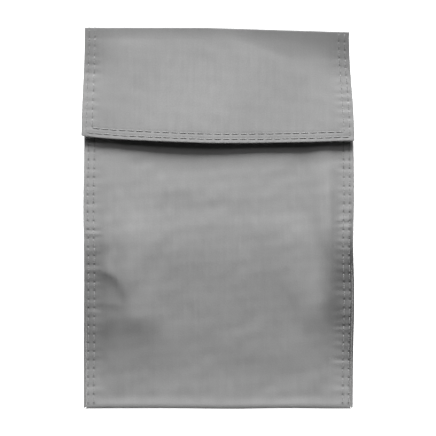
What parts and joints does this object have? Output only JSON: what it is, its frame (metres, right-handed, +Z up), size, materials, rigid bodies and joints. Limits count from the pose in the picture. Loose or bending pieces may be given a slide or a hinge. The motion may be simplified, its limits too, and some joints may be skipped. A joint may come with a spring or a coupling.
{
  "type": "lipo safe bag",
  "caption": "Flat coated-cloth envelope for a battery pack, sewn up both sides, with a fold-over flap and hook-and-loop closure.",
  "frame": {"origin": "on the resting surface, in the middle of the bag's outline, as it lies on its back", "axes": "+X across the bag to the right of the front, +Y from the folded bottom to the top fold, +Z up through the closed bag to the flap"},
  "size_m": [0.1584, 0.2211, 0.0118],
  "materials": {
    "coated_cloth": "silver-grey coated woven cloth with a satin sheen",
    "lining_cloth": "plain woven glass cloth, matt",
    "loop_pile": "black brushed loop pile",
    "hook_plastic": "black moulded hooks on a woven tape",
    "grey_thread": "grey twisted sewing thread",
    "black_thread": "black twisted sewing thread"
  },
  "bodies": {
    "pouch": {"outer_shell": "coated_cloth", "lining": "lining_cloth", "loop_tape": "loop_pile", "loop_tape_thread": "black_thread", "mouth_hem_thread": "grey_thread", "left_seam_thread_outer": "grey_thread", "left_seam_thread_inner": "grey_thread", "right_seam_thread_outer": "grey_thread", "right_seam_thread_inner": "grey_thread", "top_fold_shell": "coated_cloth", "top_fold_lining": "lining_cloth", "top_fold_thread": "grey_thread"},
    "flap": {"flap_shell": "coated_cloth", "flap_lining": "lining_cloth", "hook_tape": "hook_plastic", "hook_tape_thread": "black_thread", "flap_thread_outer": "grey_thread", "flap_thread_inner": "grey_thread"}
  },
  "joints": [
    {"name": "flap_fold", "type": "hinge", "parent": "pouch", "child": "flap", "pos_m": [0, 0.1105, 0.00496], "axis": [-1, 0, 0], "range_deg": [0, 175], "deforming": ["top_fold_shell", "top_fold_lining", "top_fold_thread"]}
  ]
}
